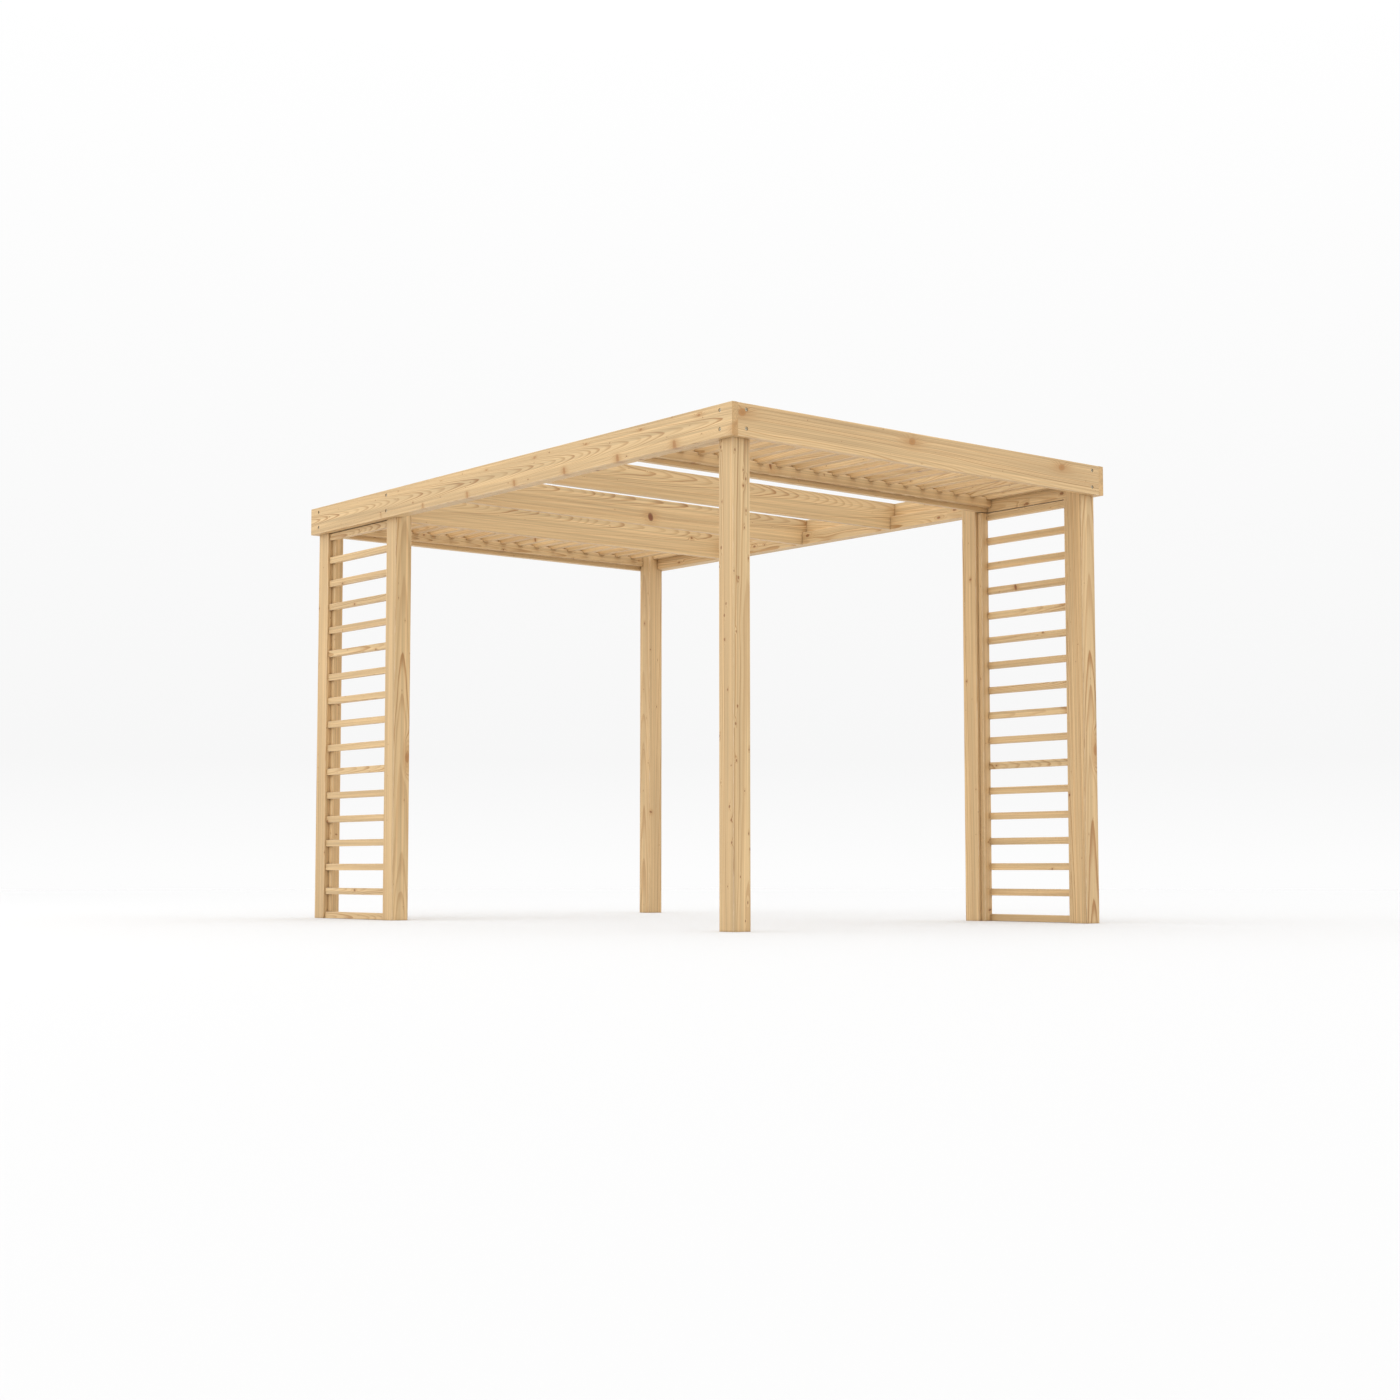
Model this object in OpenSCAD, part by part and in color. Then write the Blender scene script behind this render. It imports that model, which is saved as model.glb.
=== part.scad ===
// Timber garden pergola: six posts, a fascia frame on notched rafters,
// two slatted side screens and two slatted roof bays.
// X runs along the long side, Y along the short side, Z is up.
// The origin is on the ground, under the middle of the frame.

/* [Overall] */
// Length over the end fascia boards
length = 3600; // [2600:10:5000]
// Width over the long fascia boards
width = 2400; // [1700:10:3600]
// Height from the ground to the top edge of the fascia
height = 2245; // [1800:5:2800]

/* [Frame timber] */
// Side of a square post
post_w = 95; // [70:1:140]
// How far the post tops stay below the top edge of the fascia
post_drop = 12; // [0:1:40]
// Height of the fascia boards and of the rafters
fascia_h = 145; // [110:1:200]
// Thickness of the fascia boards
fascia_t = 34; // [20:1:50]
// Thickness of a rafter
rafter_t = 28; // [18:1:45]
// Height of the plates that carry the rafters
plate_h = 70; // [40:1:95]
// Thickness of the plates that carry the rafters
plate_t = 34; // [20:1:50]
// Play between a rafter's notch and the inner face of its plate
notch_fit = 1; // [0.2:0.1:3]

/* [Slats and battens] */
// Width of a slat, its face on the screens
slat_w = 35; // [20:1:45]
// Thickness of a slat
slat_t = 28; // [14:1:40]
// Width of a batten, across the slats' thickness
batten_w = 50; // [35:1:60]
// Thickness of a batten, off the timber that it is fixed to
batten_t = 28; // [16:1:40]
// Depth that a slat is let into its battens
housing = 10; // [4:1:14]
// Play on each side of a slat in its housing
slat_fit = 0.5; // [0.1:0.1:2]

/* [Screens] */
// Clear distance between the two posts of a screen
screen_gap = 614; // [350:2:760]
// Number of slats in a screen
screen_slats = 17; // [8:1:20]
// Distance from the posts' outer faces in to the slats
slat_inset = 11; // [2:1:20]
// Open gap between the top slat and the underside of the fascia
top_gap = 4; // [1:1:20]

/* [Roof] */
// Spacing of the roof slats, centre to centre
roof_pitch = 120; // [80:1:200]
// Height of the roof battens above the underside of the rafters
batten_rise = 23; // [5:1:30]

/* [Coach screws] */
// Shank diameter
screw_d = 7; // [5:0.5:10]
// Head diameter
head_d = 14; // [11:0.5:18]
// Head thickness
head_t = 4.5; // [3:0.5:6]
// Width across the flats of the hexagon socket
socket_w = 6; // [4:0.5:8]
// Diameter of the recess round a head
recess_d = 17; // [14:0.5:24]
// Depth of the recess round a head
recess_t = 7; // [5:0.5:10]
// Distance of the upper screws below the top edge of the fascia
screw_top = 27; // [20:1:40]
// Distance from the upper screws down to the lower ones
screw_gap = 83; // [50:1:90]
// Radial play of a shank in its hole
screw_fit = 0.2; // [0.1:0.05:0.5]

/* [Hidden] */
$fn = 32;
cut = 1; // run-out of a cut past the faces that it opens
tip = 4; // timber left between the screws that cross in a corner post

clear_h = height - fascia_h; // underside of the fascia, rafters and plates
x_in = length/2 - fascia_t; // inner face of the end fascia boards
y_in = width/2 - fascia_t; // inner face of the long fascia boards
x_corner = x_in - post_w/2; // centre of the corner posts
y_post = y_in - post_w/2; // centre of every post
x_inner = x_corner - post_w - screen_gap; // centre of the inner screen posts
x_rafter = x_inner + post_w/2 + rafter_t/2; // centre of the outer rafters
y_plate = y_in - plate_t; // inner face of the plates
screen_h = clear_h - top_gap; // top of a screen
screen_pitch = (screen_h - slat_w)/(screen_slats - 1);
z_batten = clear_h + batten_rise; // underside of the roof battens
z_slat = z_batten + batten_w - housing; // underside of the roof slats
roof_slats = floor((2*y_plate - slat_w)/roof_pitch) + 1;
screw_bite = post_w/2 - screw_d/2 - tip; // length of shank inside a post

// One post: [x side, x centre, y side]
FRONT_RIGHT = [1, x_corner, -1];
FRONT_LEFT = [-1, x_corner, -1];
FRONT_INNER = [-1, x_inner, -1];
BACK_LEFT = [-1, x_corner, 1];
BACK_RIGHT = [1, x_corner, 1];
BACK_INNER = [1, x_inner, 1];
POSTS = [FRONT_RIGHT, FRONT_LEFT, FRONT_INNER, BACK_LEFT, BACK_RIGHT, BACK_INNER];

HONEY = [0.87, 0.72, 0.52];
PALE = [0.90, 0.77, 0.58];
TAN = [0.80, 0.64, 0.44];
ZINC = [0.55, 0.53, 0.50];

// A box from one corner to the opposite one
module bar(a, b) {
    lo = [for (i = [0:2]) min(a[i], b[i])];
    hi = [for (i = [0:2]) max(a[i], b[i])];
    translate(lo) cube(hi - lo);
}

// Puts children at a post's screws, +Z pointing out of the board
module at_screws(post, long_side = true, end_side = true) {
    x = post[0]*post[1];
    corner = post[1] == x_corner;
    for (z = [height - screw_top, height - screw_top - screw_gap]) {
        if (long_side)
            translate([x, post[2]*width/2, z])
                rotate([-90*post[2], 0, 0]) children();
        if (end_side && corner)
            translate([post[0]*length/2, post[2]*y_post, z])
                rotate([0, 90*post[0], 0]) children();
    }
}

// Recess and bore of one screw, cut from the board's face inwards
module screw_bore() {
    bore = fascia_t + screw_bite + tip/2;
    translate([0, 0, -bore]) cylinder(d = screw_d + 2*screw_fit, h = bore + cut);
    translate([0, 0, -recess_t]) cylinder(d = recess_d, h = recess_t + cut);
}

// One flat-headed coach screw, its head seated on the recess floor
module coach_screw() {
    difference() {
        union() {
            translate([0, 0, -recess_t]) cylinder(d = head_d, h = head_t);
            translate([0, 0, -fascia_t - screw_bite])
                cylinder(d = screw_d, h = fascia_t + screw_bite - recess_t + cut);
        }
        translate([0, 0, -recess_t + head_t/3])
            cylinder(d = socket_w/cos(30), h = head_t, $fn = 6);
    }
}

// Long fascia board, over the ends of the short ones; side is -1 at the front
module long_fascia(side) {
    color(PALE) difference() {
        bar([-length/2, side*y_in, clear_h], [length/2, side*width/2, height]);
        for (p = POSTS) if (p[2] == side) at_screws(p, end_side = false) screw_bore();
    }
}

// End fascia board, between the long ones; side is 1 on the right
module end_fascia(side) {
    color(HONEY) difference() {
        bar([side*x_in, -y_in, clear_h], [side*length/2, y_in, height]);
        for (p = POSTS) if (p[0] == side) at_screws(p, long_side = false) screw_bore();
    }
}

// Square post, drilled for the screws of the boards that it carries
module post(p) {
    x = p[0]*p[1];
    y = p[2]*y_post;
    half = post_w/2;
    color(HONEY) difference() {
        bar([x - half, y - half, 0], [x + half, y + half, height - post_drop]);
        at_screws(p) screw_bore();
    }
}

// Plate on a long fascia's inner face, between two posts
module plate(side, x0, x1) {
    color(TAN) bar([x0, side*y_in, clear_h], [x1, side*y_plate, clear_h + plate_h]);
}

// Rafter across the frame, notched over the plates at both ends
module rafter(x) {
    half = rafter_t/2;
    color(HONEY) difference() {
        bar([x - half, -y_in, clear_h], [x + half, y_in, height]);
        for (s = [-1, 1])
            bar([x - half - cut, s*(y_plate - notch_fit), clear_h - cut],
                [x + half + cut, s*(y_in + cut), clear_h + plate_h]);
    }
}

// Centre of one roof slat, counted from the back plate
function roof_y(i) = y_plate - slat_w/2 - i*roof_pitch;
// A slat that would meet a corner post stops at the post
function slat_reach(y) =
    abs(y) + slat_w/2 + slat_fit > y_in - post_w ? x_in - post_w : x_in;

// Roof batten with a housing for every slat, x0 and x1 its two faces
module roof_batten(x0, x1, y_end) {
    color(TAN) difference() {
        bar([x0, -y_end, z_batten], [x1, y_end, z_batten + batten_w]);
        for (i = [0:roof_slats - 1])
            bar([min(x0, x1) - cut, roof_y(i) - slat_w/2 - slat_fit, z_slat],
                [max(x0, x1) + cut, roof_y(i) + slat_w/2 + slat_fit,
                    z_batten + batten_w + cut]);
    }
}

// Slats of one roof bay, from the outer rafter to the end fascia
module roof_slat_set(side) {
    x_start = x_rafter + rafter_t/2;
    color(HONEY) for (i = [0:roof_slats - 1])
        bar([side*x_start, roof_y(i) - slat_w/2, z_slat],
            [side*slat_reach(roof_y(i)), roof_y(i) + slat_w/2, z_slat + slat_t]);
}

// Screen battens stand on the posts' facing sides, behind the slats
y_slat = y_in - slat_inset; // outer face of the screen slats
y_batten = y_slat - slat_t + housing; // outer face of the screen battens
x_bay_in = x_inner + post_w/2; // inner post's side of a screen
x_bay_out = x_corner - post_w/2; // corner post's side of a screen

// Screen batten with a housing for every slat; side is -1 at the front
module screen_batten(side, x0, x1) {
    color(TAN) difference() {
        bar([side*x0, side*y_batten, 0], [side*x1, side*(y_batten - batten_w), screen_h]);
        for (i = [0:screen_slats - 1])
            bar([side*(x0 - cut*sign(x1 - x0)), side*(y_batten + cut),
                    i*screen_pitch - slat_fit],
                [side*(x1 + cut*sign(x1 - x0)), side*(y_batten - housing),
                    i*screen_pitch + slat_w + slat_fit]);
    }
}

// Slats of one screen, between its two posts
module screen_slat_set(side) {
    color(PALE) for (i = [0:screen_slats - 1])
        bar([side*(x_bay_in + slat_fit), side*y_slat, i*screen_pitch],
            [side*(x_bay_out - slat_fit), side*(y_slat - slat_t), i*screen_pitch + slat_w]);
}

long_fascia(-1);  // front_fascia
long_fascia(1);  // back_fascia
end_fascia(1);  // right_fascia
end_fascia(-1);  // left_fascia
post(FRONT_RIGHT);  // front_right_post
post(FRONT_LEFT);  // front_left_post
post(FRONT_INNER);  // front_inner_post
post(BACK_LEFT);  // back_left_post
post(BACK_RIGHT);  // back_right_post
post(BACK_INNER);  // back_inner_post
plate(-1, post_w/2 - x_inner, x_bay_out);  // front_plate
plate(-1, -x_bay_out, -x_bay_in);  // front_short_plate
plate(1, -x_bay_out, x_inner - post_w/2);  // back_plate
plate(1, x_bay_in, x_bay_out);  // back_short_plate
rafter(x_rafter);  // rafter_1
rafter(x_rafter/3);  // rafter_2
rafter(-x_rafter/3);  // rafter_3
rafter(-x_rafter);  // rafter_4
roof_batten(x_rafter + rafter_t/2, x_rafter + rafter_t/2 + batten_t, y_plate);  // right_rafter_batten
roof_batten(x_in, x_in - batten_t, y_in - post_w);  // right_fascia_batten
roof_batten(-x_rafter - rafter_t/2, -x_rafter - rafter_t/2 - batten_t, y_plate);  // left_rafter_batten
roof_batten(-x_in, batten_t - x_in, y_in - post_w);  // left_fascia_batten
roof_slat_set(1);  // right_roof_slats
roof_slat_set(-1);  // left_roof_slats
screen_batten(-1, x_bay_out, x_bay_out - batten_t);  // front_screen_outer_batten
screen_batten(-1, x_bay_in, x_bay_in + batten_t);  // front_screen_inner_batten
screen_batten(1, x_bay_out, x_bay_out - batten_t);  // back_screen_outer_batten
screen_batten(1, x_bay_in, x_bay_in + batten_t);  // back_screen_inner_batten
screen_slat_set(-1);  // front_screen_slats
screen_slat_set(1);  // back_screen_slats
color(ZINC) for (p = POSTS) at_screws(p) coach_screw();  // fascia_screws
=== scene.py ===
"""Looks of a timber garden pergola: planed pine frame, slatted screens and roof bays, coach screws."""

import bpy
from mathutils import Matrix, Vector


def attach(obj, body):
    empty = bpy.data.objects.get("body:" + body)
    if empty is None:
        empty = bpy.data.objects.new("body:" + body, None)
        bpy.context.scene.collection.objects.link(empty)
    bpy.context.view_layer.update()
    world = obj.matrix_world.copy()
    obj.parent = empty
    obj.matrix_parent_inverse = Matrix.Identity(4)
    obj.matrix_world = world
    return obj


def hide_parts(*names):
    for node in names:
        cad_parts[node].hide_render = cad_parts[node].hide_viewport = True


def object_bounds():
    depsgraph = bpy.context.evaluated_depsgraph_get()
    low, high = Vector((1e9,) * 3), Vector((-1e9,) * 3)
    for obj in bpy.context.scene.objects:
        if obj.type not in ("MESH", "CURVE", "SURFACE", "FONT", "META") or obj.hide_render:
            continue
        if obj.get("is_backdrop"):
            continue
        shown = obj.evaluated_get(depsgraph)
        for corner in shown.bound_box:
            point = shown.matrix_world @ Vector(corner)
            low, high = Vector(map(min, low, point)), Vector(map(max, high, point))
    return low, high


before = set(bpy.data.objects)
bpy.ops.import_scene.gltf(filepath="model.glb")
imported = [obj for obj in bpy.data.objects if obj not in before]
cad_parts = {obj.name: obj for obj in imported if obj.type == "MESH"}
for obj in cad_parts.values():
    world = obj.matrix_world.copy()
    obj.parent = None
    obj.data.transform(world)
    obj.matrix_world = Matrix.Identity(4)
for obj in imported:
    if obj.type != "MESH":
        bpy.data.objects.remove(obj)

import fnmatch
import logging
import math
import random
from abc import ABC, abstractmethod
from dataclasses import dataclass
from enum import Enum
from functools import partial
from typing import Any, Callable, ClassVar, Iterable, Sequence

import bmesh
import bpy
import numpy as np
from mathutils import Matrix, Vector

log = logging.getLogger("pergola")

Socket = bpy.types.NodeSocket
MM = 0.001  # metres in a millimetre
WELD = 0.01 * MM  # points nearer than this are one
SPECK = 0.01 * MM  # the least radius, so that nothing is divided by 0
SQUARE = math.radians(50)  # edges that turn by more than this are cut edges
FLAT = math.radians(0.5)  # facets that turn by less than this are one face
NOTCH = 12 * MM  # edges up to this long are a notch's, which the planer doesn't reach
ALIGNED = 0.999  # cosine of the most that a planed edge may stray from the grain
FACING = 0.9  # cosine of the most that a sawn end may stray from square
WHORLS = 64  # whorls counted from, so that the count never falls below 0


class Along(Enum):
    """The axis that a timber's grain runs along, then the two across its section."""

    LENGTH = (0, 2, 1)
    DEPTH = (1, 2, 0)
    HEIGHT = (2, 0, 1)


def linear(code: str) -> tuple[float, float, float, float]:
    """Turns an sRGB hex colour to linear light.

    Args:
        code: The colour as "#RRGGBB".

    Returns:
        Red, green and blue in linear light, and a full alpha.
    """
    parts = [int(code[i : i + 2], 16) / 255 for i in (1, 3, 5)]
    red, green, blue = (
        c / 12.92 if c <= 0.04045 else ((c + 0.055) / 1.055) ** 2.4 for c in parts
    )
    return red, green, blue, 1.0


def add(
    tree: bpy.types.NodeTree,
    kind: str,
    *inputs: Any,
    out: int = 0,
    named: dict[str | int, Any] | None = None,
    **settings: Any,
) -> Socket | None:
    """Adds one shader node with its settings and links.

    Args:
        tree: The node tree.
        kind: The node's type without "ShaderNode", then its operation, if it has one.
        inputs: What goes into the first sockets, each a socket, a value or None.
        out: The number of the output to return.
        named: What goes into sockets by name or number.
        settings: Properties of the node.

    Returns:
        The chosen output socket, or None where the node has none.
    """
    name, _, operation = kind.partition(" ")
    made = tree.nodes.new("ShaderNode" + name)
    if operation:
        made.operation = operation
    for key, value in settings.items():
        setattr(made, key, value)
    for key, value in [*enumerate(inputs), *(named or {}).items()]:
        if isinstance(value, Socket):
            tree.links.new(value, made.inputs[key])
        elif value is not None:
            made.inputs[key].default_value = value
    return made.outputs[out] if made.outputs else None


@dataclass(frozen=True)
class Growth:
    """How the tree grew through one timber. Lengths are millimetres."""

    pith: tuple[float, float] = (0.0, 60.0)  # the tree's heart, from the timber's middle
    ring: float = 3.2  # width of a year ring
    whorl: float = 420.0  # distance between whorls of branches
    start: float = 0.0  # place of one whorl, from the timber's middle
    jitter: float = 0.12  # how unevenly the branches of a whorl come, 0 to 1
    branches: int = 4  # branches in a whorl
    aim: float = 0.0  # direction of one branch across the section, in turns
    spin: float = 1.0  # how freely the whorls turn, 0 to 1
    knot: float = 8.0  # radius of a branch
    pin: float = 3.2  # radius of a thin shoot
    shoots: float = 100.0  # distance between whorls of shoots
    slim: tuple[float, float] = (1.0, 1.0)  # knots' length over width, at the lower and upper edge
    fade: float = 0.0  # how much thicker the branches are at one end
    stagger: float = 0.0  # how far along a whorl's branches are set from each other, in whorls
    dark: float = 0.85  # how dark the knots are, 0 to 1
    taper: float = 0.02  # how fast the trunk tapers, which draws arches
    wander: float = 35.0  # how far the heart wanders
    tone: float = 0.0  # paler below 0, browner above 0
    seed: int = 1  # the timber's own number, for its noises


@dataclass(frozen=True)
class Branches:
    """One family of branches, as numbers or as sockets. Lengths are metres."""

    cell: Any  # place along the timber, in whorls
    step: Any  # distance between whorls
    jitter: Any  # how unevenly the branches come along the timber
    count: Any  # branches in a whorl
    aim: Any  # direction of one branch, in turns
    spin: Any  # how freely the whorls turn
    size: Any  # radius of a branch
    slim: Any  # how much narrower a knot is across the grain than along it
    stagger: Any  # how far along each branch is set from the last, in whorls
    missing: float  # share of the branches that aren't there
    lane: float  # sets one family's random numbers apart from another's


@dataclass(frozen=True)
class Finish(ABC):
    """A finish: its name, and the nodes that draw it."""

    name: str

    def material(self) -> bpy.types.Material:
        """Makes the finish's material.

        Returns:
            The material.
        """
        made = bpy.data.materials.new(self.name)
        made.use_nodes = True
        made.node_tree.nodes.clear()
        node = partial(add, made.node_tree)
        node("OutputMaterial", self.shade(node))
        return made

    @abstractmethod
    def shade(self, node: Callable[..., Socket]) -> Socket:
        """Draws the surface.

        Args:
            node: Adds a node to the material.

        Returns:
            The shader.
        """


@dataclass(frozen=True)
class PlanedPine(Finish):
    """Planed pine: pale early wood, golden late wood, brown knots, silky but not glossy."""

    name: str = "planed_pine"
    early: str = "#D7B888"  # soft early wood, pale cream
    late: str = "#A97A46"  # dense late wood, the golden line of each ring
    warm: str = "#B07F48"  # browner boards from nearer the heart
    live: str = "#B67C36"  # a living branch, grown into the wood around it
    dead: str = "#7C4422"  # a dead branch, soaked with resin
    rim: str = "#5B351C"  # bark trapped round a branch
    cut: str = "#B88C58"  # open pores of a sawn end drink in light
    worn: str = "#DFC6A2"  # fibres lifted and bleached along an arris
    joint_shade: str = "#6E4A2A"  # painted shade that stands in for the shadow in a tight joint
    bend: float = 10.0  # how far the rings are out of round, mm
    shiver: float = 2.2  # how far a ring's line trembles, mm
    sway: float = 1.1  # how often the heart changes its way in a metre
    runs: float = 45.0  # runs of good or bad years in a metre of wood, 22 mm each
    uneven: float = 3.0  # rings that a run gains or loses
    rise: tuple[float, float] = (0.42, 0.90)  # part of a year when late wood starts and is full
    fall: tuple[float, float] = (0.94, 1.00)  # part of a year when it stops for the winter
    faint: float = 0.3  # how strongly the faintest ring shows
    slope: float = 0.22  # how steeply the branches climb
    vigour: tuple[float, float] = (-0.45, 0.15)  # share of its radius that a branch may lack or gain
    young: tuple[float, float] = (0.35, 1.1)  # how thick a branch is at the heart, and when grown
    grown: float = 90.0  # how far from the heart a branch is grown, mm
    brim: tuple[float, float] = (0.74, 1.10)  # where a knot starts to fade and ends, in radii
    bark: float = 0.13  # width of the bark round a knot, in radii
    swell: float = 1.7  # how far the wood round a knot is warm and bent, in radii
    push: float = 1.3  # how far a branch pushes the rings out, in radii
    whirl: float = 7.0  # how close a branch's own rings are, in radians a radius
    pores: float = 0.35  # how much the open pores show on a sawn end
    joint: float = 20.0  # how far shade reaches out of a tight joint, mm
    silk: tuple[float, float] = (0.50, 0.62)  # roughness: silky, but not glossy
    relief: float = 0.25  # how high the grain stands, mm
    worn_to: tuple[float, float] = (1.0, 4.5)  # from full wear to none, in from the edge, mm
    chafed: tuple[float, float] = (0.12, 0.75)  # wear of the least and the most worn arris

    # Each noise's size across and along the grain in mm, and its finer layers. Real fibres are
    # 0.03 mm wide, so the fibre noise is drawn 40 times coarser to show.
    CLOUDS: ClassVar[dict[str, tuple[float, float, float]]] = {
        "warp": (143, 625, 2),
        "ripple": (29, 200, 2),
        "fibre": (1.2, 110, 2),
        "streak": (5.5, 900, 3),
        "band": (17, 1300, 2),
        "patch": (167, 900, 2),
        "chafe": (17, 70, 3),
    }
    # How far each noise strays from a half, then how dark and how pale it makes the wood.
    GRADES: ClassVar[dict[str, tuple[float, float, float]]] = {
        "streak": (0.20, 0.85, 1.11),
        "band": (0.18, 0.88, 1.09),
        "fibre": (0.25, 0.95, 1.04),
        "patch": (0.20, 0.955, 1.045),
    }
    DRIFT: ClassVar[tuple[float, float, float]] = (7.3, 3.1, 5.7)  # sets timbers' noises apart
    YEARS: ClassVar[float] = 3.0  # sets the years' random numbers apart from the branches'
    TURNS: ClassVar[float] = 11.0  # and those for a whorl's turn
    LOTS: ClassVar[float] = 5.0  # and those for each branch
    MOST: ClassVar[int] = 8  # a whorl has fewer branches than this

    def shade(self, node: Callable[..., Socket]) -> Socket:
        """Draws the wood, solid through the timber, so faces, arrises and ends agree.

        Args:
            node: Adds a node to the material.

        Returns:
            The shader.
        """
        grain = node("Attribute", attribute_name="grain", out=1)
        held = {
            name: list(node("SeparateXYZ", node("Attribute", attribute_name=name, out=1)).node.outputs)
            for name in Timbers.MARKS
        }
        seed, tone, ring = held["growth"]
        taper, reach = held["section"][2], held["half"][2]
        seed = node("Math ROUND", seed)
        drift = node("CombineXYZ", seed, seed, seed)
        drift = node("VectorMath MULTIPLY", drift, self.DRIFT)
        clouds = {}
        for name, (across, along, layers) in self.CLOUDS.items():
            rate = (1 / (across * MM), 1 / (across * MM), 1 / (along * MM))
            spread = node("VectorMath MULTIPLY_ADD", grain, rate, drift)
            clouds[name] = node("TexNoise", spread, None, 1.0, layers).node.outputs

        # The heart wanders along the timber, and the rings are out of round.
        spread = node("VectorMath MULTIPLY_ADD", grain, (0.0, 0.0, self.sway), drift)
        wander = node("TexNoise", spread, None, 1.0, 1.0, out=1)
        wander = node("VectorMath SUBTRACT", wander, (0.5, 0.5, 0.5))
        wander = node("VectorMath SCALE", wander, None, None, reach)
        place = node("VectorMath ADD", grain, wander)
        warp = node("VectorMath SUBTRACT", clouds["warp"][1], (0.5, 0.5, 0.5))
        place = node("VectorMath MULTIPLY_ADD", warp, (self.bend * MM,) * 2 + (0,), place)
        across = node("VectorMath MULTIPLY", place, (1, 1, 0))
        radius = node("VectorMath LENGTH", across, out=1)
        x, y, _ = node("SeparateXYZ", place).node.outputs
        turn = node("Math DIVIDE", node("Math ARCTAN2", y, x), math.tau)

        cell, step, jitter = held["whorl"]
        count, aim, spin = held["branch"]
        size, shoot, slim = held["knot"]
        stagger, dark, gap = held["order"]
        big = self.knots(
            node, radius, turn, seed,
            Branches(
                cell=cell, step=step, jitter=jitter, count=count, aim=aim, spin=spin, size=size,
                slim=slim, stagger=stagger, missing=0.25, lane=1.0,
            ),
        )
        shoots = node("Math DIVIDE", node("Math MULTIPLY", cell, step), gap)
        pin = self.knots(
            node, radius, turn, seed,
            Branches(
                cell=shoots, step=gap, jitter=0.8, count=5.0, aim=0.3, spin=1.0, size=shoot,
                slim=1.9, stagger=0.0, missing=0.35, lane=2.0,
            ),
        )
        late = self.rings(node, radius, (seed, ring, taper), (big["lift"], pin["lift"]), clouds)

        # Colour: the ring's place, the board's tone, the sawn ends, then the streaks.
        end = node("Attribute", attribute_name="end", out=2)
        colour = node(
            "Mix", named={0: late, 6: linear(self.early), 7: linear(self.late)},
            data_type="RGBA", out=2,
        )
        browner = node("Math MAXIMUM", tone, 0.0)
        sawn = node("Math MULTIPLY", end, self.pores)
        for amount, layer in ((browner, self.warm), (sawn, self.cut)):
            colour = node(
                "Mix", named={0: amount, 6: colour, 7: linear(layer)}, data_type="RGBA", out=2
            )
        value = node("Math SUBTRACT", 1.0, node("Math MINIMUM", tone, 0.0))
        for name, (spread, low, high) in self.GRADES.items():
            grade = node("MapRange", clouds[name][0], 0.5 - spread, 0.5 + spread, low, high)
            value = node("Math MULTIPLY", value, grade)
        colour = node("VectorMath SCALE", colour, None, None, value)

        # Knots: a warm halo, then the branch's own rings, then trapped bark. A shoot has less of
        # a halo than a branch, and more bark.
        wear = self.wear(node, held, clouds["chafe"][0])
        for found, warmth, depth, bark in ((big, 0.6, dark, 0.5), (pin, 0.2, 0.7, 0.7)):
            inner = node("Math SINE", node("Math MULTIPLY", found["far"], self.whirl))
            inner = node("MapRange", inner, -1.0, 1.0, 0.0, 0.25)
            core = node(
                "Mix", named={0: depth, 6: linear(self.live), 7: linear(self.dead)},
                data_type="RGBA", out=2,
            )
            core = node(
                "Mix", named={0: inner, 6: core, 7: linear(self.rim)}, data_type="RGBA", out=2
            )
            halo = node("Math MULTIPLY", found["halo"], warmth)
            body = node("MapRange", depth, 0.0, 1.0, 0.5, 0.95)
            body = node("Math MULTIPLY", found["mask"], body)
            edge = node("Math MULTIPLY", node("Math MULTIPLY", found["rim"], bark), depth)
            for amount, layer in (
                (halo, linear(self.warm)), (body, core), (edge, linear(self.rim))
            ):
                colour = node(
                    "Mix", named={0: amount, 6: colour, 7: layer}, data_type="RGBA", out=2
                )

        # Painted shade: the wood darkens in tight joints, up to 70 percent of the way to the shade
        # colour, standing in for the shadow that falls there.
        painted_crease = node("AmbientOcclusion", (1, 1, 1, 1), self.joint * MM, out=1, samples=6)
        painted_crease = node("MapRange", painted_crease, 0.0, 0.75, 0.7, 0.0)
        for amount, layer in ((wear, self.worn), (painted_crease, self.joint_shade)):
            colour = node(
                "Mix", named={0: amount, 6: colour, 7: linear(layer)}, data_type="RGBA", out=2
            )

        # Late wood and knots are denser: they shine more and stand higher. Sawn ends are dull.
        fibre = clouds["fibre"][0]
        rough = node("MapRange", fibre, 0.3, 0.7, *self.silk)
        for amount, change in ((late, -0.10), (big["mask"], -0.14), (end, 0.2)):
            rough = node("Math MULTIPLY_ADD", amount, change, rough)
        high = node("Math MULTIPLY", fibre, 0.6)
        for amount, change in ((late, 0.5), (big["mask"], 0.8), (wear, -0.8)):
            high = node("Math MULTIPLY_ADD", amount, change, high)
        bump = node("Bump", None, self.relief * MM, named={"Height": high, "Strength": 0.7})
        return node(
            "BsdfPrincipled",
            named={"Base Color": colour, "Roughness": rough, "Normal": bump, "IOR": 1.5},
        )

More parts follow.
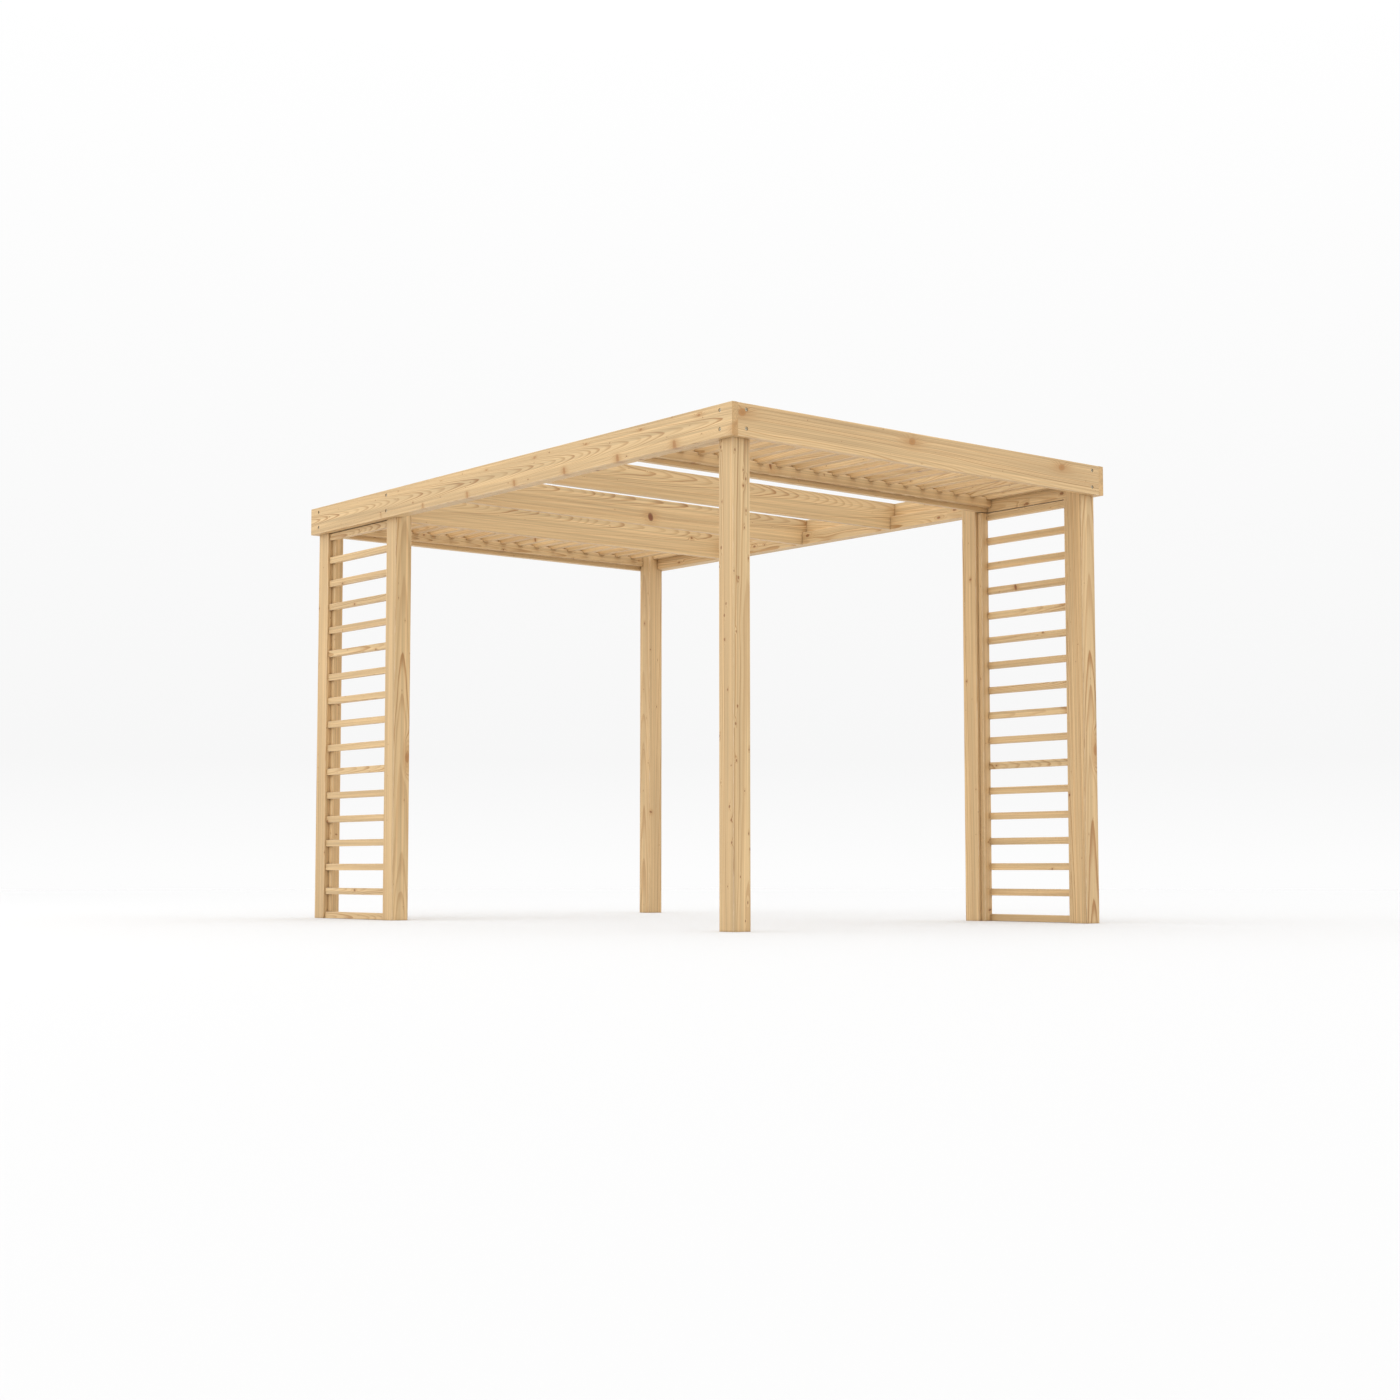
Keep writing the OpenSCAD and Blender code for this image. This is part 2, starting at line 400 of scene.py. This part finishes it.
    def rings(
        self,
        node: Callable[..., Socket],
        radius: Socket,
        growth: tuple[Socket, Socket, Socket],
        lifts: Iterable[Socket],
        clouds: dict[str, Sequence[Socket]],
    ) -> Socket:
        """Draws the year rings: each starts pale and ends in a thin dense line.

        Args:
            node: Adds a node to the material.
            radius: Distance from the heart.
            growth: The timber's seed, ring width and taper.
            lifts: How far branches push the rings out.
            clouds: The timber's noises.

        Returns:
            How much of the wood is late wood, 0 to 1.
        """
        seed, ring, taper = growth
        along = node("SeparateXYZ", node("Attribute", attribute_name="grain", out=1), out=2)
        depth = node("Math MULTIPLY_ADD", clouds["ripple"][0], self.shiver * MM, radius)
        for lift in lifts:
            depth = node("Math ADD", depth, lift)
        depth = node("Math MULTIPLY_ADD", taper, along, depth)
        pace = node("TexNoise", node("CombineXYZ", depth, seed, 0.0), None, self.runs, 1.0)
        years = node("Math DIVIDE", depth, ring)
        years = node("Math MULTIPLY_ADD", pace, self.uneven, years)
        year = node("CombineXYZ", node("Math FLOOR", years), seed, self.YEARS)
        luck = node("TexWhiteNoise", year, noise_dimensions="3D")
        luck = node("MapRange", node("Math MULTIPLY", luck, luck), 0.0, 1.0, self.faint, 1.0)
        part = node("Math FRACT", years)
        rise = node("MapRange", part, *self.rise, 0.0, 1.0, interpolation_type="SMOOTHSTEP")
        fall = node("MapRange", part, *self.fall, 1.0, 0.0, interpolation_type="SMOOTHSTEP")
        late = node("Math MULTIPLY", rise, fall)
        return node("Math MULTIPLY", late, luck)

    def knots(
        self,
        node: Callable[..., Socket],
        radius: Socket,
        turn: Socket,
        seed: Socket,
        family: Branches,
    ) -> dict[str, Socket]:
        """Grows a family of branches out from the heart, as whorls of climbing cones.

        Args:
            node: Adds a node to the material.
            radius: Distance from the heart.
            turn: Direction from the heart, in turns.
            seed: The timber's own number.
            family: The branches.

        Returns:
            The knots' inside, rim, halo, distance in radii, and lift of the rings.
        """
        climb = node("Math DIVIDE", node("Math MULTIPLY", radius, self.slope), family.step)
        cell = node("Math SUBTRACT", family.cell, climb)
        draw = node("CombineXYZ", node("Math FLOOR", cell), seed, self.TURNS * family.lane)
        draw = node("TexWhiteNoise", draw, noise_dimensions="3D")
        around = node("Math SUBTRACT", turn, family.aim)
        around = node("Math MULTIPLY_ADD", draw, family.spin, around)
        around = node("Math MULTIPLY_ADD", around, family.count, 0.5)
        branch = node("Math FLOORED_MODULO", node("Math FLOOR", around), family.count)
        branch = node("Math ROUND", branch)
        cell = node("Math MULTIPLY_ADD", branch, family.stagger, cell)
        whorl = node("Math FLOOR", cell)
        lot = node("Math MULTIPLY_ADD", whorl, float(self.MOST), branch)
        lot = node("CombineXYZ", lot, seed, self.LOTS * family.lane)
        lot = node("TexWhiteNoise", lot, noise_dimensions="3D", out=1)
        vigour, chance, shift = node("SeparateXYZ", lot).node.outputs

        shift = node("Math MULTIPLY", node("Math SUBTRACT", shift, 0.5), family.jitter)
        along = node("Math SUBTRACT", node("Math FRACT", cell), 0.5)
        along = node("Math SUBTRACT", along, shift)
        along = node("Math MULTIPLY", along, family.step)
        side = node("Math SUBTRACT", node("Math FRACT", around), 0.5)
        side = node("Math MULTIPLY", node("Math DIVIDE", side, family.count), math.tau)
        side = node("Math MINIMUM", node("Math ABSOLUTE", side), math.pi / 2)
        side = node("Math MULTIPLY", node("Math SINE", side), radius)
        side = node("Math MULTIPLY", side, family.slim)

        gone = node("Math MULTIPLY", family.spin, family.missing)
        there = node("Math GREATER_THAN", chance, gone)
        thick = node("MapRange", vigour, 0.0, 1.0, *self.vigour)
        thick = node("Math MULTIPLY_ADD", thick, family.spin, 1.0)
        age = node("MapRange", radius, 0.0, self.grown * MM, *self.young)
        thick = node("Math MULTIPLY", thick, age)
        thick = node("Math MULTIPLY", node("Math MULTIPLY", thick, family.size), there)
        thick = node("Math MAXIMUM", thick, SPECK)

        gap = node("VectorMath LENGTH", node("CombineXYZ", side, along), out=1)
        far = node("Math DIVIDE", gap, thick)
        mask = node("MapRange", far, *self.brim, 1.0, 0.0, interpolation_type="SMOOTHSTEP")
        mask = node("Math MULTIPLY", mask, there)
        rim = node("Math DIVIDE", node("Math SUBTRACT", far, 1.0), self.bark)
        rim = node("Math EXPONENT", node("Math MULTIPLY", node("Math MULTIPLY", rim, rim), -1.0))
        rim = node("Math MULTIPLY", rim, there)
        # The rings swell round a branch twice as far along the grain as across it.
        flow = node("CombineXYZ", side, node("Math MULTIPLY", along, 0.5))
        flow = node("Math DIVIDE", node("VectorMath LENGTH", flow, out=1), thick)
        flow = node("Math DIVIDE", flow, self.swell)
        halo = node("Math EXPONENT", node("Math MULTIPLY", node("Math MULTIPLY", flow, flow), -1.0))
        halo = node("Math MULTIPLY", halo, there)
        lift = node("Math MULTIPLY", node("Math MULTIPLY", halo, thick), self.push)
        return {"mask": mask, "rim": rim, "halo": halo, "far": far, "lift": lift}

    def wear(
        self,
        node: Callable[..., Socket],
        held: dict[str, Sequence[Socket]],
        chafe: Socket,
    ) -> Socket:
        """Wears the arrises, in patches along the grain.

        Args:
            node: Adds a node to the material.
            held: The timber's marks.
            chafe: The noise that breaks the wear up.

        Returns:
            How worn the surface is, 0 to 1.
        """
        inside = [
            node("Math SUBTRACT", half, node("Math ABSOLUTE", place))
            for half, place in zip(held["half"][:2], held["section"][:2])
        ]
        edge = node("Math MAXIMUM", *inside)
        full, none = (reach * MM for reach in self.worn_to)
        near = node("MapRange", edge, full, none, 1.0, 0.0, interpolation_type="SMOOTHSTEP")
        return node("Math MULTIPLY", near, node("MapRange", chafe, 0.42, 0.68, *self.chafed))


@dataclass(frozen=True)
class PassivatedSteel(Finish):
    """Zinc-plated steel, passivated: a thin straw-coloured film, cloudy, with a broken shine."""

    name: str = "passivated_zinc_steel"
    bright: str = "#DDD3BC"
    dull: str = "#A89C82"
    crystal: float = 1.5  # size of the plate's crystals, mm
    marks: float = 0.4  # distance between tool marks, mm

    def shade(self, node: Callable[..., Socket]) -> Socket:
        """Draws the plated steel.

        Args:
            node: Adds a node to the material.

        Returns:
            The shader.
        """
        place = node("TexCoord", out=3)
        cloudy = node("TexNoise", place, None, 1 / (self.crystal * MM), 3.0)
        marks = node("TexNoise", place, None, 1 / (self.marks * MM), 1.0)
        colour = node(
            "Mix", named={0: cloudy, 6: linear(self.dull), 7: linear(self.bright)},
            data_type="RGBA", out=2,
        )
        rough = node("MapRange", cloudy, 0.3, 0.7, 0.30, 0.48)
        bump = node("Bump", None, 0.08 * MM, named={"Height": marks, "Strength": 0.5})
        return node(
            "BsdfPrincipled",
            named={"Base Color": colour, "Roughness": rough, "Normal": bump, "Metallic": 1.0},
        )


@dataclass(frozen=True)
class MattPaint(Finish):
    """Matt white floor paint: even, with a fine rolled grit that takes any shine off."""

    name: str = "matt_white_paint"
    colour: str = "#D5D5D5"
    grit: float = 2.5  # distance between grains, mm

    def shade(self, node: Callable[..., Socket]) -> Socket:
        """Draws the paint.

        Args:
            node: Adds a node to the material.

        Returns:
            The shader.
        """
        grit = node("TexNoise", node("TexCoord", out=3), None, 1 / (self.grit * MM), 2.0)
        bump = node("Bump", None, 0.2 * MM, named={"Height": grit, "Strength": 0.2})
        return node(
            "BsdfPrincipled",
            named={
                "Base Color": linear(self.colour),
                "Roughness": 0.9,
                "Specular IOR Level": 0.2,
                "Normal": bump,
            },
        )


@dataclass
class Timbers:
    """Timbers of one kind: each CAD node is planed, dressed and put in its place."""

    finish: bpy.types.Material
    arris: float = 2.0  # radius of a planed edge, millimetres
    saw: float = 0.4  # radius left by the saw, millimetres
    tones: tuple[float, float] = (-0.03, 0.14)  # from the palest timber to the brownest

    NODES: ClassVar[str] = "*"  # which CAD nodes are of this kind
    SUFFIX: ClassVar[str] = "timber"
    SLOT: ClassVar[str] = "post"
    GROWTHS: ClassVar[dict[str, Growth]] = {}
    MARKS: ClassVar[tuple[str, ...]] = (
        "growth", "whorl", "branch", "knot", "order", "section", "half"
    )

    def along(self, node: str) -> Along:
        """Gives the axis of a node's grain."""
        return Along.LENGTH

    def build(self) -> None:
        """Makes every timber of the kind."""
        for node in fnmatch.filter(sorted(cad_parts), self.NODES):
            piece = self.plane(node, self.along(node))
            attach(piece, "root")
            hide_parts(node)
            log.info("%s: %d faces", piece.name, len(piece.data.polygons))

    def growth(self, node: str, number: int, dice: random.Random) -> Growth:
        """Chooses how one timber grew.

        Args:
            node: The CAD node.
            number: The timber's place in a set; not used.
            dice: The set's own random numbers.

        Returns:
            The timber's growth.
        """
        given = self.GROWTHS.get(node)
        if given is not None:
            return given
        turn = dice.uniform(0, math.tau)
        away = dice.uniform(45, 110)
        return Growth(
            pith=(away * math.cos(turn), away * math.sin(turn)),
            ring=dice.uniform(2.4, 4.2),
            whorl=dice.uniform(360, 520),
            start=dice.uniform(-200, 200),
            branches=dice.choice((3, 4, 5)),
            knot=dice.uniform(5, 9),
            tone=dice.uniform(*self.tones),
            seed=dice.randrange(1, 900),
        )

    def plane(self, node: str, along: Along) -> bpy.types.Object:
        """Copies a CAD node's solids, eases their edges and marks their grain.

        Args:
            node: The CAD node.
            along: The axis of its grain.

        Returns:
            The piece, in place.
        """
        shape = bmesh.new()
        shape.from_mesh(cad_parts[node].data)
        bmesh.ops.remove_doubles(shape, verts=shape.verts, dist=WELD)
        bmesh.ops.dissolve_limit(
            shape, angle_limit=FLAT, verts=shape.verts, edges=shape.edges
        )
        shape.verts.index_update()
        shape.faces.index_update()
        dice = random.Random(node)
        whole = bmesh.new()
        for number, island in enumerate(self.islands(shape)):
            one = self.lone(shape, island)
            lo, hi = self.corners(one)
            self.ease(one, along)
            self.mark(one, along, lo, hi, self.growth(node, number, dice))
            mesh = bpy.data.meshes.new("one")
            one.to_mesh(mesh)
            one.free()
            whole.from_mesh(mesh)
            bpy.data.meshes.remove(mesh)
        shape.free()
        mesh = bpy.data.meshes.new(node + "_" + self.SUFFIX)
        whole.to_mesh(mesh)
        whole.free()
        mesh.materials.append(self.finish)
        piece = bpy.data.objects.new(mesh.name, mesh)
        bpy.context.scene.collection.objects.link(piece)
        return piece

    @staticmethod
    def islands(shape: bmesh.types.BMesh) -> list[list[bmesh.types.BMVert]]:
        """Parts a mesh into its loose solids, in a fixed order.

        Args:
            shape: The mesh of one or more solids.

        Returns:
            Each solid's vertices.
        """
        seen: set[int] = set()
        found = []
        shape.verts.ensure_lookup_table()
        for first in shape.verts:
            if first.index in seen:
                continue
            group, queue = [], [first]
            seen.add(first.index)
            while queue:
                here = queue.pop()
                group.append(here)
                for edge in here.link_edges:
                    other = edge.other_vert(here)
                    if other.index not in seen:
                        seen.add(other.index)
                        queue.append(other)
            found.append(group)
        # From the lowest to the highest, then from the nearest to the farthest, to 0.1 mm.
        found.sort(key=lambda g: [round(min(v.co[a] for v in g), 4) for a in (2, 1, 0)])
        return found

    @staticmethod
    def lone(
        shape: bmesh.types.BMesh, island: Iterable[bmesh.types.BMVert]
    ) -> bmesh.types.BMesh:
        """Copies one solid out of a mesh.

        Args:
            shape: The whole mesh.
            island: The solid's vertices.

        Returns:
            The solid alone.
        """
        made = bmesh.new()
        verts = {v: made.verts.new(v.co) for v in island}
        faces = {f for v in verts for f in v.link_faces}
        for face in sorted(faces, key=lambda f: f.index):
            made.faces.new([verts[v] for v in face.verts])
        made.normal_update()
        return made

    @staticmethod
    def corners(shape: bmesh.types.BMesh) -> tuple[Vector, Vector]:
        """Gives a mesh's lowest and highest corners."""
        places = np.array([v.co for v in shape.verts])
        return Vector(places.min(0)), Vector(places.max(0))

    def ease(self, shape: bmesh.types.BMesh, along: Along) -> None:
        """Rounds the planed arrises along the grain, then breaks the sawn edges.

        Args:
            shape: One solid.
            along: The axis of its grain.
        """
        axis = along.value[0]

        def square(edge: bmesh.types.BMEdge) -> bool:
            """Tells whether an edge is an outer one and square."""
            return edge.is_convex and edge.calc_face_angle(0.0) > SQUARE

        def planed(edge: bmesh.types.BMEdge) -> bool:
            """Tells whether an edge runs along the grain, so that the planer rounds it.

            Args:
                edge: An edge of the solid.

            Returns:
                Whether it is planed.
            """
            run = edge.verts[1].co - edge.verts[0].co
            return (
                square(edge)
                and run.length > NOTCH
                and abs(run[axis]) > ALIGNED * run.length
            )

        long = [edge for edge in shape.edges if planed(edge)]
        made = bmesh.ops.bevel(
            shape,
            geom=long,
            offset=self.arris * MM,
            segments=3,
            profile=0.5,
            affect="EDGES",
            clamp_overlap=True,
        )
        for face in made["faces"]:
            face.smooth = True
        shape.normal_update()
        cut = [edge for edge in shape.edges if square(edge)]
        bmesh.ops.bevel(
            shape,
            geom=cut,
            offset=self.saw * MM,
            segments=1,
            profile=0.5,
            affect="EDGES",
            clamp_overlap=True,
        )
        shape.normal_update()

    @staticmethod
    def mark(
        shape: bmesh.types.BMesh, along: Along, lo: Vector, hi: Vector, growth: Growth
    ) -> None:
        """Writes where each point lies in the tree.

        Args:
            shape: One solid.
            along: The axis of its grain.
            lo: Its lowest corner.
            hi: Its highest corner.
            growth: How it grew.
        """
        run, wide, thick = along.value
        middle = (lo + hi) / 2
        half = (hi - lo) / 2
        layers = shape.verts.layers.float_vector
        marks = {name: layers.new(name) for name in ("grain", *Timbers.MARKS)}
        end = shape.faces.layers.float.new("end")
        step = growth.whorl * MM
        thin, broad = growth.slim
        for vert in shape.verts:
            here = vert.co - middle
            place = (here[run] - growth.start * MM) / step + WHORLS + 0.5
            thick_by = max(0.0, 1 + growth.fade * here[run] / half[run])
            tall = here[wide] / half[wide]
            slim = (thin + broad) / 2 + (broad - thin) / 2 * tall
            written = {
                "grain": (
                    here[wide] - growth.pith[0] * MM,
                    here[thick] - growth.pith[1] * MM,
                    here[run],
                ),
                "growth": (growth.seed, growth.tone, growth.ring * MM),
                "whorl": (place, step, growth.jitter),
                "branch": (growth.branches, growth.aim, growth.spin),
                "knot": (growth.knot * MM * thick_by, growth.pin * MM, slim),
                "order": (growth.stagger, growth.dark, growth.shoots * MM),
                "section": (here[wide], here[thick], growth.taper),
                "half": (half[wide], half[thick], growth.wander * MM),
            }
            for name, value in written.items():
                vert[marks[name]] = value
        for face in shape.faces:
            face[end] = 1.0 if abs(face.normal[run]) > FACING else 0.0


@dataclass
class Fasciae(Timbers):
    """The four boards round the top of the frame."""

    arris: float = 2.5

    NODES: ClassVar[str] = "*_fascia"
    SUFFIX: ClassVar[str] = "board"
    SLOT: ClassVar[str] = "fascia"
    GROWTHS: ClassVar[dict[str, Growth]] = {
        # A slim row of knots along the lower edge, one every 411 mm.
        "front_fascia": Growth(
            pith=(4, 30), ring=3.4, whorl=411.4, start=1421 - 30, jitter=0, branches=4,
            aim=-0.383, spin=0, knot=6.1, pin=4.2, shoots=150, slim=(0.15, 3.0), fade=1.0,
            stagger=0.58, dark=0.3, taper=0.034, wander=14, tone=0.02, seed=31,
        ),
        # Three broad brown knots near the upper edge, a metre apart.
        "right_fascia": Growth(
            pith=(-90, -70), ring=4.6, whorl=1018, start=-122 - 35, jitter=0, branches=2,
            aim=0.0998, spin=0, knot=19, pin=2.2, slim=(2.1, 2.1), dark=0.2, taper=0.014,
            wander=22, tone=0.12, seed=47,
        ),
        "back_fascia": Growth(
            pith=(-15, 80), ring=4.2, whorl=430, start=845, taper=0.03, seed=53,
        ),
        "left_fascia": Growth(
            pith=(20, 85), ring=4.0, whorl=520, start=120, branches=3, taper=0.025, seed=59,
        ),
    }

    def along(self, node: str) -> Along:
        """Gives the axis of a board's grain."""
        return Along.LENGTH if node.startswith(("front", "back")) else Along.DEPTH


@dataclass
class Posts(Timbers):
    """The six square posts."""

    arris: float = 3.0

    NODES: ClassVar[str] = "*_post"
    PLAIN: ClassVar[Callable[..., Growth]] = partial(
        Growth, start=60, knot=5, dark=0.75, wander=14
    )
    # Arches run up the face towards +X, with one amber knot by its far edge.
    ARCHED: ClassVar[Callable[..., Growth]] = partial(
        Growth, pith=(-70, 4), ring=6.4, whorl=3000, start=-300, jitter=0, branches=1,
        aim=0.039, spin=0, knot=22, pin=3.2, shoots=125, slim=(2.0, 2.0), dark=0.3,
        taper=0.022, wander=10,
    )
    GROWTHS: ClassVar[dict[str, Growth]] = {
        "front_right_post": PLAIN(
            pith=(-75, 35), ring=5.6, whorl=700, pin=5.8, shoots=50, taper=0.006, tone=0.05,
            seed=101,
        ),
        "front_left_post": PLAIN(
            pith=(-68, 20), ring=5.6, whorl=520, pin=3.4, shoots=110, taper=0.012, tone=0.06,
            seed=113,
        ),
        "front_inner_post": ARCHED(tone=0.07, seed=127),
        "back_left_post": PLAIN(
            pith=(-12, 70), ring=6.6, whorl=600, pin=4.0, shoots=90, taper=0.020, tone=0.10,
            seed=131,
        ),
        "back_inner_post": PLAIN(
            pith=(-64, 30), ring=5.6, whorl=580, pin=3.4, shoots=130, taper=0.012, tone=0.11,
            seed=149,
        ),
        "back_right_post": ARCHED(tone=0.12, seed=139),
    }

    def along(self, node: str) -> Along:
        """Gives the axis of a post's grain."""
        return Along.HEIGHT


@dataclass
class Plates(Timbers):
    """The plates along the long fasciae that carry the rafters."""

    NODES: ClassVar[str] = "*_plate"
    SUFFIX: ClassVar[str] = "rail"
    SLOT: ClassVar[str] = "plate"
    KNOTTY: ClassVar[Callable[..., Growth]] = partial(
        Growth, ring=3.6, whorl=900, knot=5, pin=11, shoots=95, taper=0.012
    )
    GROWTHS: ClassVar[dict[str, Growth]] = {
        "front_plate": KNOTTY(pith=(12, -70), tone=0.05, seed=307),
        "front_short_plate": KNOTTY(pith=(-30, -65), tone=0.04, seed=311),
        "back_plate": KNOTTY(pith=(-25, 60), tone=0.10, seed=313),
        "back_short_plate": KNOTTY(pith=(-20, 64), tone=0.08, seed=317),
    }


@dataclass
class Rafters(Timbers):
    """The four notched rafters."""

    NODES: ClassVar[str] = "rafter_*"
    SUFFIX: ClassVar[str] = "joist"
    SLOT: ClassVar[str] = "rafter"
    BOARD: ClassVar[Callable[..., Growth]] = partial(
        Growth, jitter=0, branches=3, knot=6, pin=2.2, dark=0.7, taper=0.030, wander=30
    )
    GROWTHS: ClassVar[dict[str, Growth]] = {
        "rafter_1": BOARD(pith=(44, -108), ring=3.3, whorl=900, start=200, tone=0.05, seed=211),
        "rafter_2": BOARD(pith=(40, -100), ring=3.1, whorl=2600, start=1200, tone=0.06, seed=223),
        # One dark knot at mid length.
        "rafter_3": BOARD(
            pith=(58, -90), ring=2.7, whorl=2600, start=9, aim=0.3603, spin=0, knot=14.5,
            dark=1.0, tone=0.06, seed=227,
        ),
        "rafter_4": BOARD(
            pith=(56, -88), ring=2.8, whorl=1300, start=-420, aim=0.2, knot=7, tone=0.05,
            seed=229,
        ),
    }

    def along(self, node: str) -> Along:
        """Gives the axis of a rafter's grain."""
        return Along.DEPTH


@dataclass
class Battens(Timbers):
    """The notched battens that hold the slats."""

    arris: float = 1.5

    NODES: ClassVar[str] = "*_batten"
    SUFFIX: ClassVar[str] = "strip"
    SLOT: ClassVar[str] = "batten"

    def along(self, node: str) -> Along:
        """Gives the axis of a batten's grain."""
        return Along.HEIGHT if "screen" in node else Along.DEPTH


@dataclass
class RoofSlats(Timbers):
    """The slats of the roof bays, each with grain of its own."""

    arris: float = 1.8
    # Browner than the screen slats: painted shade, darkening the roof slats to stand in for the shade
    # on their undersides; the spread from slat to slat is their own tone.
    tones: tuple[float, float] = (0.05, 0.28)

    NODES: ClassVar[str] = "*_roof_slats"
    SUFFIX: ClassVar[str] = "set"
    SLOT: ClassVar[str] = "slat"


@dataclass
class ScreenSlats(RoofSlats):
    """The slats of the side screens, sorted for paler wood."""

    tones: tuple[float, float] = (-0.05, 0.05)

    NODES: ClassVar[str] = "*_screen_slats"


@dataclass
class Screws(Timbers):
    """Coach screws with hexagon sockets, sunk in the fasciae."""

    arris: float = 0.3
    saw: float = 0.3

    NODES: ClassVar[str] = "fascia_screws"
    SUFFIX: ClassVar[str] = "set"
    SLOT: ClassVar[str] = "screw"


@dataclass
class Studio:
    """The pale floor, the white surroundings, one soft light and the camera. Lengths are metres."""

    place: tuple[float, float, float] = (8.73451, -7.05965, 0.26085)
    heading: float = 140.66053  # degrees from +X, seen from above
    rise: float = 4.47034  # degrees above the horizon
    roll: float = -0.0186  # degrees
    lens: float = 55.769  # millimetres
    sensor: float = 36.0  # millimetres
    sight: float = 200.0  # how far the camera sees
    floor_radius: float = 19.0
    floor_sides: int = 160
    floor_gap: float = 0.0005  # under the posts' feet
    zenith: str = "#FFFFFF"  # surroundings overhead
    haze: str = "#F7F7F7"  # surroundings' greyest band, just above the horizon
    horizon: str = "#FDFDFD"  # surroundings at the floor's edge
    haze_height: float = 0.05  # sine of the angle up to the greyest band
    clear_height: float = 0.36  # sine of the angle up to where the grey ends
    overhead: float = 1.9  # brightness straight above
    key_power: float = 115.0  # watts
    key_size: float = 6.0
    key_place: tuple[float, float, float] = (-3.5, -9.0, 6.0)
    key_aim: tuple[float, float, float] = (0.0, 0.0, 1.1)

    def build(self) -> None:
        """Sets up the studio."""
        self.floor()
        self.world()
        self.lights()
        self.camera()

    def floor(self) -> None:
        """Lays a round floor just under the posts."""
        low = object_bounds()[0]
        shape = bmesh.new()
        bmesh.ops.create_circle(
            shape,
            cap_ends=True,
            cap_tris=False,
            segments=self.floor_sides,
            radius=self.floor_radius,
        )
        mesh = bpy.data.meshes.new("studio_floor")
        shape.to_mesh(mesh)
        shape.free()
        floor = bpy.data.objects.new("studio_floor", mesh)
        floor.location = (0.0, 0.0, low[2] - self.floor_gap)
        bpy.context.scene.collection.objects.link(floor)
        mesh.materials.append(MattPaint().material())
        floor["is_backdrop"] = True

    def world(self) -> None:
        """Surrounds the studio with white, a little greyer just above the horizon."""
        world = bpy.data.worlds.new("studio")
        world.use_nodes = True
        bpy.context.scene.world = world
        world.node_tree.nodes.clear()
        node = partial(add, world.node_tree)
        height = node("SeparateXYZ", node("TexCoord"), out=2)
        dusk = node("MapRange", height, 0.0, self.haze_height, 0.0, 1.0)
        colour = node(
            "Mix", named={0: dusk, 6: linear(self.horizon), 7: linear(self.haze)},
            data_type="RGBA", out=2,
        )
        dawn = node("MapRange", height, self.haze_height, self.clear_height, 0.0, 1.0)
        colour = node(
            "Mix", named={0: dawn, 6: colour, 7: linear(self.zenith)}, data_type="RGBA", out=2
        )
        power = node("MapRange", height, self.clear_height, 1.0, 1.0, self.overhead)
        node("OutputWorld", node("Background", colour, power))

    def lights(self) -> None:
        """Hangs one large soft light ahead of the front and to its left."""
        light = bpy.data.lights.new("key_light", "AREA")
        light.energy = self.key_power
        light.size = self.key_size
        lamp = bpy.data.objects.new("key_light", light)
        lamp.location = self.key_place
        aim = Vector(self.key_aim) - lamp.location
        lamp.rotation_euler = aim.to_track_quat("-Z", "Y").to_euler()
        bpy.context.scene.collection.objects.link(lamp)

    def camera(self) -> None:
        """Puts the camera low in front of the near corner."""
        yaw, tilt, roll = (math.radians(a) for a in (self.heading, self.rise, self.roll))
        ahead = Vector(
            (math.cos(yaw) * math.cos(tilt), math.sin(yaw) * math.cos(tilt), math.sin(tilt))
        )
        side = Vector((math.sin(yaw), -math.cos(yaw), 0.0))
        over = side.cross(ahead)
        right = side * math.cos(roll) + over * math.sin(roll)
        up = over * math.cos(roll) - side * math.sin(roll)
        turn = Matrix((right, up, -ahead)).transposed()
        lens = bpy.data.cameras.new("camera")
        lens.lens = self.lens
        lens.sensor_width = self.sensor
        lens.clip_end = self.sight
        camera = bpy.data.objects.new("camera", lens)
        camera.matrix_world = Matrix.Translation(self.place) @ turn.to_4x4()
        bpy.context.scene.collection.objects.link(camera)
        bpy.context.scene.camera = camera


def main() -> None:
    """Builds the pergola's pieces in order, then the studio."""
    logging.basicConfig(level=logging.INFO, format="%(name)s: %(message)s")
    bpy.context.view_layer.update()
    pine = PlanedPine().material()
    steel = PassivatedSteel().material()
    for kind in (Fasciae, Posts, Plates, Rafters, Battens, RoofSlats, ScreenSlats):
        kind(pine).build()
    Screws(steel).build()
    Studio().build()
    bpy.context.scene.view_settings.view_transform = "Standard"


if __name__ == "__main__":
    main()
